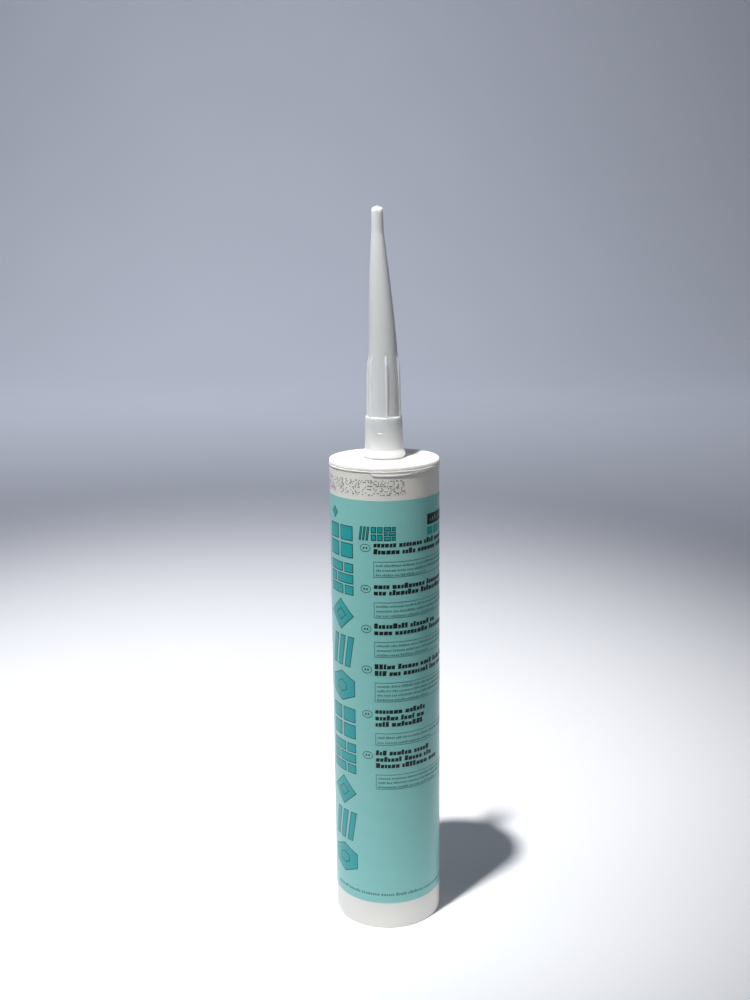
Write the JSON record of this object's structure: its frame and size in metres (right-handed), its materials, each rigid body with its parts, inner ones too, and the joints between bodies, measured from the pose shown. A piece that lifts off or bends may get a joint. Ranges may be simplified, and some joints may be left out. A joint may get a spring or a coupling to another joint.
{
  "type": "sealant cartridge",
  "caption": "Round plastic sealant cartridge standing on its open back rim, with a moulded front head, a screw-on tapered nozzle and a sliding piston.",
  "frame": {"origin": "centre of the tube's back rim, which the cartridge stands on", "axes": "+Z along the tube towards the nozzle; -Y is the printed front; the nozzle's tip leans a little towards -X"},
  "size_m": [0.0494, 0.0494, 0.3279],
  "materials": {
    "barrel_plastic": "extruded, satin white",
    "head_plastic": "moulded, satin white",
    "nozzle_plastic": "moulded, translucent milky white",
    "piston_plastic": "moulded, matt natural white",
    "sealant": "soft, smooth",
    "teal_ink": "printed ink, satin",
    "dark_ink": "printed ink, satin"
  },
  "bodies": {
    "cartridge": {"barrel": "barrel_plastic", "head": "head_plastic", "sealant": "sealant"},
    "nozzle": {"nozzle": "nozzle_plastic"},
    "piston": {"piston": "piston_plastic"}
  },
  "joints": [
    {"name": "nozzle_unscrew", "type": "slide", "parent": "cartridge", "child": "nozzle", "axis": [0, 0, 1], "range_m": [0, 0.03]},
    {"name": "piston_stroke", "type": "slide", "parent": "cartridge", "child": "piston", "axis": [0, 0, 1], "range_m": [0, 0.1815], "deforming": ["sealant"]}
  ]
}
